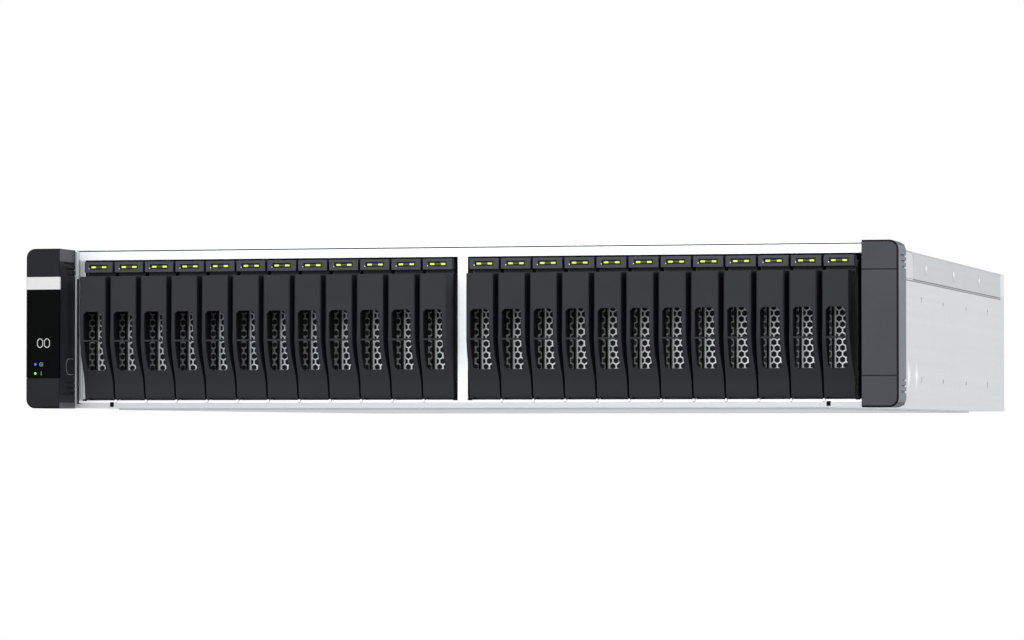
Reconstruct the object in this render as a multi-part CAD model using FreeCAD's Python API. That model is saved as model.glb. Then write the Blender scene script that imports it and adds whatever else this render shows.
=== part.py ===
"""Two-unit rackmount storage server: a sheet-metal case with twenty-four hot-swap drive trays in
front, moulded rack ears, and two controllers between two power modules at the back.

Frame: X to the right seen from the front, Y to the back, Z up. The origin lies under the middle of
the overall box, on the surface that the case stands on. Millimetres.
"""
import FreeCAD
import Part
import math
import os

from FreeCAD import Vector

# Rack and case
rack_width = 482.6
ear_depth = 25.5
ear_drop = 0.6
ear_lift = 0.8
ear_reach = 19.7
case_length = 521.5
case_height = 88.9
sheet = 1.0
skid_drop = 1.0
skid_width = 398.0
skid_front = 8.0
skid_tail = 2.0
skid_seam = 2.0
seam = 0.2
wall_joggle = 1.2
flange_drop = 14.3
cover_split = 147.5
rear_strip = 17.0

# Ear covers
ear_wall = 2.0
ear_corner = 5.0
ear_bevel = 1.0
panel_top_margin = 15.4
panel_bottom_margin = 16.6
band_height = 7.0
window_gap = 0.15
window_set_back = 0.1
grip_slot = 0.9
grip_cut = 0.8
grip_pitch = 3.05
grip_start = 6.5
grip_step = 3.5
grip_margin = 1.0
grip_count = 3
line_cut = 0.4
button_height = 9.6
button_front = 10.3
button_z = 23.8
button_lip = 1.0
button_gap = 0.3

# Rack flanges and rail holes
flange_sheet = 1.5
flange_margin = 1.0
flange_web = 44.0
flange_web_height = 56.6
rail_hole_radius = 2.1
rail_hole_front = 178.5
rail_hole_pitch = 267.0
rail_hole_columns = 2
rail_hole_low = 17.3
rail_hole_drop = 11.1

# Drive bays
bay_pitch = 17.58
bank_gap = 8.46
bay_floor = 5.0
top_rail = 5.1
rail_seam = 0.6
hem_rise = 1.3
frame_lead = 1.0
cage_sheet = 1.2
cage_length = 114.0
side_clearance = 0.6
side_set_back = 14.0
divider_width = 5.6
lip_rise = 0.3
rib_width = 0.7
rib_height = 1.2
rib_set_back = 6.0
rib_tail = 2.0
run_gap = 0.3

# Drive trays
drive_width = 15.0
drive_length = 100.2
carrier_width = 15.6
rail_thickness = 2.0
tray_headroom = 3.2
drive_gap = 0.25
front_wall = 1.5
front_wall_back = 1.5
wall_to_drive = 6.5
rail_tail = 1.3
head_width = 16.2
head_headroom = 1.1
head_height = 5.8
head_lead = 4.5
head_depth = 9.0
slot_width = 10.5
slot_height = 2.7
slot_depth = 1.2
lens_width = 2.4
lens_height = 1.2
lens_span = 6.1
shield_lead = 5.0
shield_set_back = 8.0
shield_sheet = 0.8
shield_half = 5.3
shield_bottom = 21.9
shield_top = 57.0

# Tray levers
lever_headroom = 2.6
lever_stand = 14.5
lever_width = 14.8
lever_root_width = 16.6
lever_wall = 1.2
lever_side = 1.4
lever_bevel = 0.7
lever_back_gap = 0.3
bend_top = 44.8
bend_share = 0.625
bend_runs = 6
heel_stand = 2.9
heel_radius = 3.4
heel_gap = 0.3
heel_rise = 8.0
notch_rise = 6.0
rod_radius = 1.6
rod_flat = 0.9
bore_sides = 8
rod_gap = 0.05
cradle_wall = 0.65
cradle_gap = 0.9
cradle_lip = 135.0
cradle_mouth = 135.0
window_width = 10.6
window_bottom = 21.3
window_top = 53.8
window_corner = 1.5
bar_thickness = 1.0
bar_depth = 0.8
bar_set_back = 1.0
bar_z = 37.8

# Midplane
board_thickness = 2.4
board_margin = 1.0
socket_width = 6.0
socket_height = 38.0
socket_lift = 12.0
socket_gap = 0.5
vent_bays = 3
vent_margin = 4.0
vent_headroom = 6.6
vent_height = 20.0
plug_width = 60.0
plug_height = 14.0

# Rear modules
module_gap = 0.3
module_front = 14.0
module_sheet = 1.2
controller_headroom = 2.8
power_width = 83.3
power_headroom = 1.6
shelf_sheet = 1.0
rear_reach = 20.0
grip_loop_width = 40.0
grip_loop_wall = 4.0
grip_loop_height = 8.0
grip_loop_set_in = 16.0
port_recess = 3.2
port_width = 14.0
port_height = 12.0
port_pitch = 22.0
port_count = 4
port_lift = 9.0
port_first = -58.0
usb_width = 6.5
usb_height = 13.5
usb_pitch = 12.0
usb_count = 2
usb_first = 36.0
inlet_width = 31.0
inlet_height = 24.0
inlet_depth = 20.0
inlet_wall = 2.6
inlet_floor = 4.0
inlet_lift = 16.0
blade_width = 2.0
blade_height = 5.0
blade_length = 10.0
blade_pitch = 7.0
fan_radius = 27.0
fan_recess = 2.0
fan_lift = 55.0

# Places that follow from the sizes
overall_depth = ear_depth + case_length + rear_reach
y_front = -overall_depth / 2
y_rack = y_front + ear_depth
y_cage = y_rack - frame_lead
y_rear = y_rack + case_length
half_rack = rack_width / 2
half_case = half_rack - ear_reach
ear_inner = half_case + seam
floor_bottom = skid_drop
floor_top = floor_bottom + sheet
cover_bottom = case_height - sheet
flange_bottom = cover_bottom - flange_drop
ear_top = case_height - ear_drop
ear_mid = (ear_lift + ear_top) / 2
panel_top = ear_top - panel_top_margin
panel_bottom = ear_lift + panel_bottom_margin
y_split = y_rack + cover_split
y_strip = y_rear - rear_strip
side_out = half_case - wall_joggle - sheet - seam
bank_bays = math.floor((side_out - cage_sheet - side_clearance - bank_gap / 2) / bay_pitch)
half_bank = bank_gap / 2 + bank_bays * bay_pitch
cage_inside = half_bank - bay_pitch / 2 + lever_root_width / 2 + side_clearance
y_pivot = y_cage - heel_stand + heel_radius
bay_ceiling = cover_bottom - seam - top_rail
head_top = bay_ceiling - head_headroom
head_bottom = head_top - head_height
lever_top = head_bottom - lever_headroom
z_pivot = bay_floor + lip_rise + heel_gap + heel_radius
y_lever = y_cage - lever_stand
y_heel = y_pivot - heel_radius
y_lever_back = y_cage - lever_back_gap
y_wall = y_cage + front_wall_back
y_drive = y_wall + front_wall + wall_to_drive
tray_bottom = bay_floor + run_gap
drive_bottom = tray_bottom + rail_thickness
rail_bottom = bay_ceiling - tray_headroom - rail_thickness
drive_top = rail_bottom - drive_gap
y_rail_end = y_drive + drive_length + rail_tail
y_board = y_cage + cage_length
y_module = y_board + board_thickness + module_front
module_floor = floor_top + module_gap
power_outer = half_case - sheet - wall_joggle - module_gap
power_inner = power_outer - power_width
power_height = cover_bottom - power_headroom - module_floor
bay_wall = power_inner - module_gap - sheet
half_controller = bay_wall - module_gap
controller_height = (cover_bottom - controller_headroom - module_floor - shelf_sheet) / 2 - module_gap
shelf_bottom = module_floor + controller_height + module_gap
upper_floor = shelf_bottom + shelf_sheet + module_gap


def block(x0, x1, y0, y1, z0, z1):
    """A box between two opposite corners."""
    return Part.makeBox(x1 - x0, y1 - y0, z1 - z0, Vector(x0, y0, z0))


def both_sides(x0, x1, y0, y1, z0, z1):
    """The same box on the right and on the left."""
    return [block(x0, x1, y0, y1, z0, z1), block(-x1, -x0, y0, y1, z0, z1)]


def round_bar(radius, start, direction, length):
    """A cylinder from a point along a direction."""
    return Part.makeCylinder(radius, length, start, direction)


def line(a, b):
    return Part.LineSegment(a, b).toShape()


def arc(a, middle, b):
    return Part.Arc(a, middle, b).toShape()


def sweep(edges, vector):
    """A closed outline of edges, filled and swept along a vector."""
    return Part.Face(Part.Wire(edges)).extrude(vector)


def plate(points, vector):
    """A closed polygon, filled and swept along a vector."""
    return Part.Face(Part.makePolygon(points + points[:1])).extrude(vector)


def mirrored(shape):
    """The shape seen in the case's middle plane."""
    return shape.mirror(Vector(0, 0, 0), Vector(1, 0, 0))


def bay_centre(number):
    """X of a drive bay's middle, counted from the left."""
    bank_shift = bank_gap if number >= bank_bays else 0.0
    return -half_bank + (number + 0.5) * bay_pitch + bank_shift


def bay_walls():
    """X of the middle of each gap between two neighbouring bays of one bank."""
    gaps = []
    for number in range(2 * bank_bays - 1):
        if number != bank_bays - 1:
            gaps.append((bay_centre(number) + bay_centre(number + 1)) / 2)
    return gaps


def make_tub():
    """Floor with its pressed skid, side walls stepped in behind the cover's flange, the walls and
    shelf that carry the rear modules, and the strip that closes the back of the top."""
    half_skid = skid_width / 2
    y0 = y_rack + skid_front
    floor = block(-half_case, half_case, y_cage, y_rear, floor_bottom, floor_top)
    pressed = block(-half_skid + skid_seam, half_skid - skid_seam,
                    y0 + skid_seam, y_module - skid_seam, floor_bottom, floor_top)
    skid = block(-half_skid, half_skid, y0, y_rear - skid_tail, 0, skid_drop)
    step = half_case - wall_joggle
    pieces = [skid]
    pieces.append(block(-half_case, half_case, y_cage, y_cage + sheet, floor_top, floor_top + hem_rise))
    pieces += both_sides(half_case - sheet, half_case, y_cage, y_rear, floor_bottom,
                         flange_bottom - seam)
    pieces += both_sides(step - sheet, step, y_cage, y_strip, flange_bottom - seam - sheet,
                         cover_bottom - seam)
    pieces += both_sides(step - sheet, half_case, y_cage, y_strip,
                         flange_bottom - seam - sheet, flange_bottom - seam)
    pieces += both_sides(half_case - sheet, half_case, y_strip, y_rear,
                         flange_bottom - seam - sheet, case_height)
    pieces.append(block(-half_case, half_case, y_strip, y_rear, cover_bottom, case_height))
    pieces += both_sides(bay_wall, bay_wall + sheet, y_module, y_rear, floor_bottom,
                         cover_bottom)
    pieces.append(block(-bay_wall - sheet, bay_wall + sheet, y_module, y_rear, shelf_bottom,
                        shelf_bottom + shelf_sheet))
    tub = floor.cut(pressed).fuse(pieces)
    holes = []
    for column in range(rail_hole_columns):
        y = y_rack + rail_hole_front + column * rail_hole_pitch
        for z in (rail_hole_low, flange_bottom - rail_hole_drop):
            for x in (-half_case - sheet, half_case - 2 * sheet):
                holes.append(round_bar(rail_hole_radius, Vector(x, y, z), Vector(1, 0, 0), 3 * sheet))
    return tub.cut(holes).removeSplitter()


def make_rack_flange():
    """The right-hand steel angle behind an ear that meets the rack post."""
    web_top = flange_bottom - 2 * seam
    flange = block(half_case, half_rack - flange_margin, y_rack, y_rack + flange_sheet,
                   ear_lift + flange_margin, ear_top - flange_margin)
    web = block(half_case, half_case + flange_sheet, y_rack, y_rack + flange_web,
                web_top - flange_web_height, web_top)
    return flange.fuse(web).removeSplitter()


def make_cage():
    """The bright frame round the trays: rails, side flanges, hollow divider and the guide ribs."""
    y0, y1 = y_cage, y_cage + cage_length
    rail_top = cover_bottom - rail_seam
    lip_top = bay_floor + lip_rise
    pieces = [block(-side_out, side_out, y0, y1, bay_floor - cage_sheet, bay_floor)]
    pieces.append(block(-side_out, side_out, y0, y0 + cage_sheet, bay_floor - cage_sheet, lip_top))
    pieces.append(block(-side_out, side_out, y1 - cage_sheet, y1, floor_top, bay_floor))
    pieces.append(block(-side_out, side_out, y0, y1, bay_ceiling, bay_ceiling + cage_sheet))
    pieces.append(block(-side_out, side_out, y0, y0 + cage_sheet, bay_ceiling, rail_top))
    y_side = y0 + side_set_back
    pieces += both_sides(cage_inside, cage_inside + cage_sheet, y_side, y1, bay_floor, bay_ceiling)
    pieces += both_sides(cage_inside, side_out, y_side, y_side + cage_sheet, bay_floor, bay_ceiling)
    pieces.append(block(-divider_width / 2, divider_width / 2, y0, y0 + cage_sheet, bay_floor,
                        bay_ceiling))
    pieces += both_sides(divider_width / 2 - cage_sheet, divider_width / 2, y0, y1, bay_floor,
                         bay_ceiling)
    for x in bay_walls():
        pieces.append(block(x - rib_width / 2, x + rib_width / 2, y0 + rib_set_back,
                            y1 - rib_tail, bay_floor, bay_floor + rib_height))
        pieces.append(block(x - rib_width / 2, x + rib_width / 2, y0 + rib_set_back + head_depth,
                            y1 - rib_tail, bay_ceiling - rib_height, bay_ceiling))
    return pieces[0].fuse(pieces[1:]).removeSplitter()


def make_cover(y0, y1, y_strip_front):
    """A cover plate on the two side strips that lap over the walls."""
    plate_top = block(-half_case, half_case, y0, y1, cover_bottom, case_height)
    return [plate_top] + both_sides(half_case - sheet, half_case, y_strip_front, y1, flange_bottom,
                                    cover_bottom)


def ear_block():
    """The right-hand ear's outside: rounded outer corners and a bevel round the outer front edge."""
    x0, x1 = ear_inner, half_rack
    body = block(x0, x1, y_front, y_rack, ear_lift, ear_top)
    corners = [e for e in body.Edges
               if abs(e.CenterOfMass.x - x1) < 1e-6 and abs(e.CenterOfMass.z - ear_mid) > 1.0
               and abs(e.CenterOfMass.y - (y_front + y_rack) / 2) < 1e-6]
    body = body.makeFillet(ear_corner, corners)
    rim = [e for e in body.Edges
           if e.BoundBox.YMax < y_front + 1e-6 and e.BoundBox.XMax > x0 + 1e-6]
    return body.makeChamfer(ear_bevel, rim)


def grip_slots():
    """The stepped finger slots above and below the panel on both sides of the right-hand ear."""
    cuts = []
    for row in range(grip_count):
        start = y_front + grip_start + row * grip_step
        upper = panel_top + grip_margin + (grip_count - 1 - row) * grip_pitch
        lower = panel_bottom - grip_margin - 2 * grip_slot - (grip_count - 1 - row) * grip_pitch
        for z in (upper, lower):
            for x in (half_rack, ear_inner):
                cuts.append(block(x - grip_cut, x + grip_cut, start, y_rack + grip_cut, z,
                                  z + grip_slot))
    return cuts


def make_ear():
    """The right-hand ear as a hollow moulding, open at the back, with its finger slots."""
    x0, x1 = ear_inner, half_rack
    hollow = block(x0 + ear_wall, x1 - ear_wall, y_front + ear_wall, y_rack + ear_wall,
                   ear_lift + ear_wall, ear_top - ear_wall)
    return ear_block().cut([hollow] + grip_slots())


def panel_region(gap, set_back):
    """The slab of the ear's front wall that the panel takes up, less a gap at top and bottom and at
    the front."""
    return block(ear_inner - gap, half_rack + 1, y_front + set_back, y_front + ear_wall,
                 panel_bottom + gap, panel_top - gap)


def make_right_ear():
    """The plain ear: its panel is only outlined by two fine lines."""
    lines = []
    for z in (panel_top, panel_bottom):
        lines.append(block(ear_inner - 1, half_rack + 1, y_front - 1,
                           y_front + line_cut, z - line_cut / 2, z + line_cut / 2))
    return make_ear().cut(lines)


def make_window():
    """The left ear's glass panel and the plain band above it, as two pieces."""
    panel = ear_block().common(panel_region(window_gap, window_set_back))
    split = panel_top - band_height
    below = block(0, half_rack + 1, y_front - 1, y_rack, 0, split)
    above = block(0, half_rack + 1, y_front - 1, y_rack, split, case_height)
    return [mirrored(panel.common(below)), mirrored(panel.common(above))]


def tab_outline(grow, x0, x1):
    """A tab with a half-round front end, flat at the back, on the right-hand ear's inner side."""
    r = button_height / 2 + grow
    y0 = y_front + button_front + button_height / 2
    y1 = y_rack - ear_wall + grow
    a, b = Vector(x0, y1, button_z - r), Vector(x0, y1, button_z + r)
    c, d = Vector(x0, y0, button_z + r), Vector(x0, y0, button_z - r)
    edges = [line(a, b), line(b, c), arc(c, Vector(x0, y0 - r, button_z), d), line(d, a)]
    return sweep(edges, Vector(x1 - x0, 0, 0))


def make_left_ear():
    """The ear with the display: its panel opening and the tab's opening on the inner side."""
    opening = tab_outline(0, ear_inner - 1, ear_inner + ear_wall + 1)
    return mirrored(make_ear().cut([panel_region(0, 0), opening]))


def make_button():
    """The tab on the left ear's inner side, held by a wider lip behind the wall."""
    lip_front = ear_inner + ear_wall + button_gap
    tab = tab_outline(-button_gap, ear_inner, lip_front)
    half = button_height / 2 + button_lip
    lip = block(lip_front, lip_front + button_lip, y_front + button_front - button_lip,
                y_rack - ear_wall + button_lip, button_z - half, button_z + half)
    return mirrored(tab.fuse(lip))


def heel_point(radius, degrees):
    """A point round the lever's pivot, measured from the back, turning up."""
    angle = math.radians(degrees)
    return Vector(0, y_pivot + radius * math.cos(angle), z_pivot + radius * math.sin(angle))


def make_bore(half):
    """The many-sided bore of the hook, whose flats clear the rod."""
    corner = (rod_radius + rod_gap) / math.cos(math.pi / bore_sides)
    points = [heel_point(corner, 360 * step / bore_sides) for step in range(bore_sides)]
    return plate([point - Vector(half, 0, 0) for point in points], Vector(2 * half, 0, 0))


def make_rod(half):
    """The lever's round rod with two upright flats, on which it passes the mouth of the hook."""
    rod = round_bar(rod_radius, Vector(-half, y_pivot, z_pivot), Vector(1, 0, 0), 2 * half)
    return rod.common(block(-half, half, y_pivot - rod_flat, y_pivot + rod_flat, z_pivot - heel_radius,
                            z_pivot + heel_radius))


def cradle_half():
    """Half the width of the hook, which fits between the lever's cheeks."""
    return lever_root_width / 2 - lever_side - cradle_gap


def make_cradle():
    """The block at the foot of a tray that becomes the hook for the lever's rod."""
    half = cradle_half()
    reach = rod_radius + rod_gap + cradle_wall
    return block(-half, half, y_pivot - rod_radius, y_wall + front_wall, z_pivot - reach, z_pivot + reach)


def cradle_cuts():
    """The rod's bore, the mouth it snaps in through, and the room for the lever's two cheeks."""
    half = cradle_half()
    far = 3 * heel_radius
    mouth = [heel_point(0, 0)]
    mouth += [heel_point(far, cradle_lip + share * cradle_mouth) for share in (0.0, 0.5, 1.0)]
    mouth = [point - Vector(half, 0, 0) for point in mouth]
    cheeks = both_sides(half, carrier_width, y_pivot - far, y_pivot + heel_radius + run_gap,
                        tray_bottom - 1, z_pivot + notch_rise)
    return [make_bore(half + 1), plate(mouth, Vector(2 * half, 0, 0))] + cheeks


def make_carrier():
    """A tray at the middle of the case: two rails joined by the front wall, the lamp head and the
    hook for the lever's rod."""
    half = carrier_width / 2
    top = rail_bottom + rail_thickness
    y_in = y_wall + front_wall
    outline = [(y_wall, tray_bottom), (y_rail_end, tray_bottom), (y_rail_end, drive_bottom),
               (y_in, drive_bottom), (y_in, rail_bottom), (y_rail_end, rail_bottom), (y_rail_end, top),
               (y_wall, top)]
    frame = plate([Vector(-half, y, z) for y, z in outline], Vector(carrier_width, 0, 0))
    y_head = y_cage - head_lead
    head = block(-head_width / 2, head_width / 2, y_head, y_head + head_depth, head_bottom, head_top)
    slot_z = (head_bottom + head_top) / 2
    slot = block(-slot_width / 2, slot_width / 2, y_head - 1, y_head + slot_depth,
                 slot_z - slot_height / 2, slot_z + slot_height / 2)
    air = block(-shield_half, shield_half, y_wall - 1, y_in + 1, shield_bottom, shield_top)
    return frame.fuse([head, make_cradle()]).cut([slot, air] + cradle_cuts()).removeSplitter()


def make_shield():
    """The sheet channel in the tray's wall: open to the front, with its flat back behind the wall."""
    y0 = y_cage - shield_lead
    y1 = y_cage + shield_set_back
    inner = shield_half - shield_sheet
    outline = [(-shield_half, y0), (-inner, y0), (-inner, y1), (inner, y1), (inner, y0), (shield_half, y0),
               (shield_half, y1 + shield_sheet), (-shield_half, y1 + shield_sheet)]
    points = [Vector(x, y, shield_bottom) for x, y in outline]
    return plate(points, Vector(0, 0, shield_top - shield_bottom))


def make_tray():
    """Everything that slides out with one tray except the lever."""
    drive = block(-drive_width / 2, drive_width / 2, y_drive, y_drive + drive_length, drive_bottom,
                  drive_top)
    lenses = []
    slot_z = (head_bottom + head_top) / 2
    y_slot = y_cage - head_lead + slot_depth
    for x in (-lens_span / 2, lens_span / 2):
        lenses.append(block(x - lens_width / 2, x + lens_width / 2, y_slot - slot_depth / 2, y_slot,
                            slot_z - lens_height / 2, slot_z + lens_height / 2))
    return [make_carrier(), make_shield(), drive] + lenses


def ogee():
    """Turn angle and the two radii of the lever's double bend."""
    fall = bend_top - z_pivot
    recess = y_heel - y_lever
    turn = 2 * math.atan2(recess, fall)
    total = fall / math.sin(turn)
    return turn, total * bend_share, total * (1 - bend_share)


def bend_point(inset, share):
    """A point on the lever's double bend, moved into the wall by inset: share runs from 0 at the top
    to 1 in the middle, where the curve changes sides, and to 2 at the heel."""
    turn, upper, lower = ogee()
    if share <= 1:
        radius, angle = upper - inset, share * turn
        return Vector(0, y_lever + upper - radius * math.cos(angle), bend_top - radius * math.sin(angle))
    radius, angle = lower + inset, (2 - share) * turn
    return Vector(0, y_heel - lower + radius * math.cos(angle), z_pivot + radius * math.sin(angle))


def lever_front():
    """Front line of the lever in side view, from the top down to the heel, in short straight runs."""
    points = [Vector(0, y_lever, lever_top)]
    points += [bend_point(0, 2 * step / bend_runs) for step in range(bend_runs + 1)]
    return [line(a, b) for a, b in zip(points, points[1:])]


def lever_hollow():
    """Outline of the lever's hollow in side view: straight runs that keep the wall's thickness."""
    turn, upper, lower = ogee()
    turn_point, foot = bend_point(lever_wall, 1), bend_point(lever_wall, 2)
    corner = foot + Vector(0, 0, (lower + lever_wall) * math.tan(turn / 2))
    back = y_pivot + 2 * heel_radius
    below = z_pivot - 2 * heel_radius
    top = lever_top - lever_wall
    return [Vector(0, y_lever + lever_wall, top), bend_point(lever_wall, 0), turn_point, corner,
            Vector(0, foot.y, below), Vector(0, back, below), Vector(0, back, top)]


def lever_plan(inset, bevel):
    """Top view of the lever: bevelled front edges and sides that spread to the heel's depth."""
    front, root = lever_width / 2 - inset, lever_root_width / 2 - inset
    y_end = y_pivot + 2 * heel_radius
    points = [(-front, y_lever + bevel), (-front + bevel, y_lever), (front - bevel, y_lever),
              (front, y_lever + bevel), (root, y_heel), (root, y_end), (-root, y_end), (-root, y_heel)]
    return plate([Vector(x, y, 0) for x, y in points], Vector(0, 0, case_height))


def make_lever():
    """The curved tray lever: a drafted channel with a double bend, a window with a cross bar, and
    side cheeks that carry the rod in the tray's hook."""
    width = lever_root_width
    shoulder = Vector(0, y_lever_back, z_pivot + heel_rise)
    corners = [heel_point(heel_radius, 180 + 45 * step) for step in range(5)]
    corners += [shoulder, Vector(0, y_lever_back, lever_top), Vector(0, y_lever, lever_top)]
    edges = lever_front() + [line(a, b) for a, b in zip(corners, corners[1:])]
    body = sweep(edges, Vector(width, 0, 0))
    body.translate(Vector(-width / 2, 0, 0))
    body = body.common(lever_plan(0, lever_bevel))
    hollow = plate(lever_hollow(), Vector(width, 0, 0))
    hollow.translate(Vector(-width / 2, 0, 0))
    hollow = hollow.common(lever_plan(lever_side, lever_bevel))

    window = block(-window_width / 2, window_width / 2, y_lever - 1, y_lever_back, window_bottom,
                   window_top)
    window = window.makeChamfer(window_corner, [e for e in window.Edges if e.BoundBox.YLength > 1.0])
    shell = body.cut(hollow)
    y_bar = y_lever + bar_set_back
    bar = block(-window_width / 2, window_width / 2, y_bar, y_bar + bar_depth,
                bar_z - bar_thickness / 2, bar_z + bar_thickness / 2)
    half_rod = lever_root_width / 2 - lever_side / 2
    return shell.cut(window).fuse([bar, make_rod(half_rod)]).removeSplitter()


def make_midplane():
    """The upright board behind the drives with a socket for each drive, air vents above them and
    plugs for the rear modules."""
    half = cage_inside + cage_sheet - board_margin
    board = block(-half, half, y_board, y_board + board_thickness, floor_top, bay_ceiling)
    vents, pieces = [], []
    vent_top = bay_ceiling - vent_headroom
    socket_y = y_rail_end + socket_gap
    for number in range(0, 2 * bank_bays, vent_bays):
        x0 = bay_centre(number) - bay_pitch / 2 + vent_margin
        last = min(number + vent_bays, 2 * bank_bays) - 1
        x1 = bay_centre(last) + bay_pitch / 2 - vent_margin
        vents.append(block(x0, x1, y_board - 1, y_board + board_thickness + 1,
                           vent_top - vent_height, vent_top))
    for number in range(2 * bank_bays):
        x = bay_centre(number)
        pieces.append(block(x - socket_width / 2, x + socket_width / 2, socket_y, y_board, socket_lift,
                            socket_lift + socket_height))
    back = y_board + board_thickness
    plug_end = y_module - module_gap
    lower_z = module_floor + controller_height / 2
    upper_z = upper_floor + controller_height / 2
    power_x = (power_inner + power_outer) / 2
    for x, z in ((0, lower_z), (0, upper_z), (-power_x, lower_z), (power_x, lower_z)):
        pieces.append(block(x - plug_width / 2, x + plug_width / 2, back, plug_end,
                            z - plug_height / 2, z + plug_height / 2))
    return [board.cut(vents)] + pieces


def make_canister(x0, x1, z0, z1):
    """A closed sheet-metal box as long as the rear modules."""
    t = module_sheet
    outside = block(x0, x1, y_module, y_rear, z0, z1)
    inside = block(x0 + t, x1 - t, y_module + t, y_rear - port_recess - t, z0 + t, z1 - t)
    return outside.cut(inside)


def make_grip(x, z):
    """A pull loop on a module's back, standing on its two ends."""
    half = grip_loop_width / 2
    w = grip_loop_wall
    edge = rear_reach - w
    points = [(x - half, 0), (x - half, edge), (x - half + w, rear_reach), (x + half - w, rear_reach),
              (x + half, edge), (x + half, 0), (x + half - w, 0), (x + half - w, edge),
              (x - half + w, edge), (x - half + w, 0)]
    return plate([Vector(a, y_rear + b, z - grip_loop_height / 2) for a, b in points],
                 Vector(0, 0, grip_loop_height))


def make_controller(z0):
    """A controller: a flat canister with shallow port recesses and a pull loop at each end."""
    z1 = z0 + controller_height
    body = make_canister(-half_controller, half_controller, z0, z1)
    ports = []
    for number in range(port_count):
        x = port_first + number * port_pitch
        ports.append(block(x - port_width / 2, x + port_width / 2, y_rear - port_recess, y_rear + 1,
                           z0 + port_lift, z0 + port_lift + port_height))
    for number in range(usb_count):
        x = usb_first + number * usb_pitch
        ports.append(block(x - usb_width / 2, x + usb_width / 2, y_rear - port_recess, y_rear + 1,
                           z0 + port_lift, z0 + port_lift + usb_height))
    grip_x = half_controller - grip_loop_set_in - grip_loop_width / 2
    grip_z = (z0 + z1) / 2
    return [body.cut(ports), make_grip(-grip_x, grip_z), make_grip(grip_x, grip_z)]


def make_power():
    """The right-hand power module: fan mouth above, mains inlet and a pull loop below."""
    x_mid = (power_inner + power_outer) / 2
    z0 = module_floor
    body = make_canister(power_inner, power_outer, z0, z0 + power_height)
    fan = Vector(x_mid, y_rear - fan_recess, z0 + fan_lift)
    mouth = round_bar(fan_radius, fan, Vector(0, 1, 0), fan_recess + 1)
    x0, x1 = power_inner + inlet_wall, power_inner + inlet_wall + inlet_width
    zi = z0 + inlet_lift
    hole = block(x0, x1, y_rear - inlet_depth, y_rear + 1, zi - inlet_height / 2, zi + inlet_height / 2)
    socket = block(x0, x1, y_rear - inlet_depth, y_rear, zi - inlet_height / 2, zi + inlet_height / 2)
    w = inlet_wall
    pocket = block(x0 + w, x1 - w, y_rear - inlet_depth + inlet_floor, y_rear + 1,
                   zi - inlet_height / 2 + w, zi + inlet_height / 2 - w)
    blades = []
    y_blade = y_rear - inlet_depth + inlet_floor
    for number in (-1, 0, 1):
        x = (x0 + x1) / 2 + number * blade_pitch
        blades.append(block(x - blade_width / 2, x + blade_width / 2, y_blade, y_blade + blade_length,
                            zi - blade_height / 2, zi + blade_height / 2))
    grip_x = power_outer - grip_loop_width / 2
    return [body.cut([mouth, hole]), socket.cut(pocket).fuse(blades), make_grip(grip_x, zi)]


def placed(shapes, x):
    """Copies of the shapes, moved along X."""
    copies = []
    for shape in shapes:
        copy = shape.copy()
        copy.translate(Vector(x, 0, 0))
        copies.append(copy)
    return copies


def write(name, shapes):
    """One file for a sub-part, with each of its pieces as a solid of its own."""
    solids = [solid for shape in shapes for solid in shape.Solids]
    result = solids[0] if len(solids) == 1 else Part.makeCompound(solids)
    result.exportStep(os.path.join("parts", name + ".step"))


def main():
    os.makedirs("parts", exist_ok=True)
    flange = make_rack_flange()
    power = make_power()
    write("chassis_tub", [make_tub(), flange, mirrored(flange)])
    write("drive_cage", [make_cage()] + make_cover(y_cage, y_split, y_rack + flange_sheet + seam))
    write("top_cover", make_cover(y_split + seam, y_strip - seam, y_split + seam))
    write("left_ear_cover", [make_left_ear()])
    write("right_ear_cover", [make_right_ear()])
    write("display_window", make_window())
    write("ear_button", [make_button()])
    write("midplane_board", make_midplane())
    write("controller_lower", make_controller(module_floor))
    write("controller_upper", make_controller(upper_floor))
    write("power_supply_right", power)
    write("power_supply_left", [mirrored(shape) for shape in power])
    tray, lever = make_tray(), make_lever()
    for number in range(2 * bank_bays):
        x = bay_centre(number)
        write(f"drive_tray_{number + 1:02d}", placed(tray, x))
        write(f"tray_lever_{number + 1:02d}", placed([lever], x))


main()
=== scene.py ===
import math

import bmesh
import bpy
from mathutils import Matrix, Vector


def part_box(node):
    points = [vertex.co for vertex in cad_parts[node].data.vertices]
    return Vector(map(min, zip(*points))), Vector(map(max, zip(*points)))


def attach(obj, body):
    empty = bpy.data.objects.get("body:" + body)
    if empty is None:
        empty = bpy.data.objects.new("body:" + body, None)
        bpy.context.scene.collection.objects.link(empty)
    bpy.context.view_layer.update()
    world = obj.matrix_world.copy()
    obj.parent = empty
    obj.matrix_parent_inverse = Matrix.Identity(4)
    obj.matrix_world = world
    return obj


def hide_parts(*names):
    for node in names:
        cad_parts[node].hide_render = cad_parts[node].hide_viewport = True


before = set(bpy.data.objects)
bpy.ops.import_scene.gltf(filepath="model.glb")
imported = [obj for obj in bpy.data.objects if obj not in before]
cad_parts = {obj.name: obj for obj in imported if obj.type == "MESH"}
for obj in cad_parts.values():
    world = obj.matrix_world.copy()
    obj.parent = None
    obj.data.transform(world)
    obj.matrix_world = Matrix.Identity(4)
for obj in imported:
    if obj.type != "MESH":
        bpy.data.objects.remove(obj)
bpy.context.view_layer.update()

bl_info = {
    "name": "Rack storage server",
    "version": (1, 0, 0),
    "blender": (4, 5, 0),
    "location": "View3D > Sidebar > Rack server",
    "description": "Finishes, tray shields, panel prints, case fittings and studio for a rack storage server",
    "category": "Object",
}

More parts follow.
